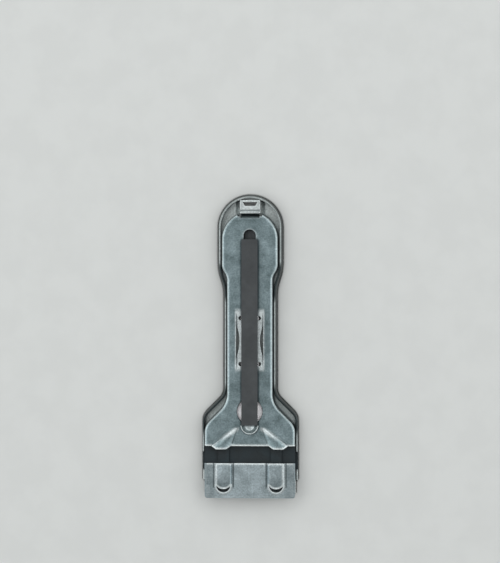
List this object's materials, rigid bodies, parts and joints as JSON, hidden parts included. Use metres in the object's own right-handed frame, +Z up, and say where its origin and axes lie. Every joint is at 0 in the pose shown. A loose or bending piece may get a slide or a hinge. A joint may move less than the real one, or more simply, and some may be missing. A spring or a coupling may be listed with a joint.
{
  "type": "hob scraper",
  "caption": "Zinc-plated stamped steel hob scraper with a dark thumb slide that pushes a blade out past a ribbed front guard.",
  "frame": {"origin": "middle of the length and width, on the surface that the scraper lies on", "axes": "+Z up out of the surface, +Y along the handle to its round tail, -Y to the blade, +X to the right seen from above with the tail up"},
  "size_m": [0.044, 0.14, 0.0091],
  "materials": {
    "base_zinc": "zinc-plated sheet, dull and mottled",
    "cover_zinc": "zinc-plated sheet, dull and mottled, bright at bent rims",
    "guard_zinc": "zinc-plated sheet, a little lighter than the cover",
    "blade_steel": "hardened steel, ground edge",
    "black_plastic": "moulded, black",
    "grey_plastic": "moulded, dark grey",
    "bright_steel": "bright plated steel",
    "spring_steel": "plated spring steel"
  },
  "bodies": {
    "base": {"base_shell": "base_zinc", "spare_blade": "blade_steel"},
    "cover": {"cover_shell": "cover_zinc", "front_guard": "guard_zinc"},
    "slide": {"blade": "blade_steel", "blade_carrier": "black_plastic", "drive_strip": "bright_steel", "thumb_slide": "grey_plastic", "click_leaf": "spring_steel", "slide_screws": "bright_steel", "carrier_rivets": "bright_steel", "leaf_rivet": "bright_steel"}
  },
  "joints": [
    {"name": "cover_lift", "type": "hinge", "parent": "base", "child": "cover", "pos_m": [0, 0.0614, 0.0028], "axis": [-1, 0, 0], "range_deg": [0, 30]},
    {"name": "blade_slide", "type": "slide", "parent": "cover", "child": "slide", "axis": [0, -1, 0], "range_m": [0, 0.011]}
  ]
}
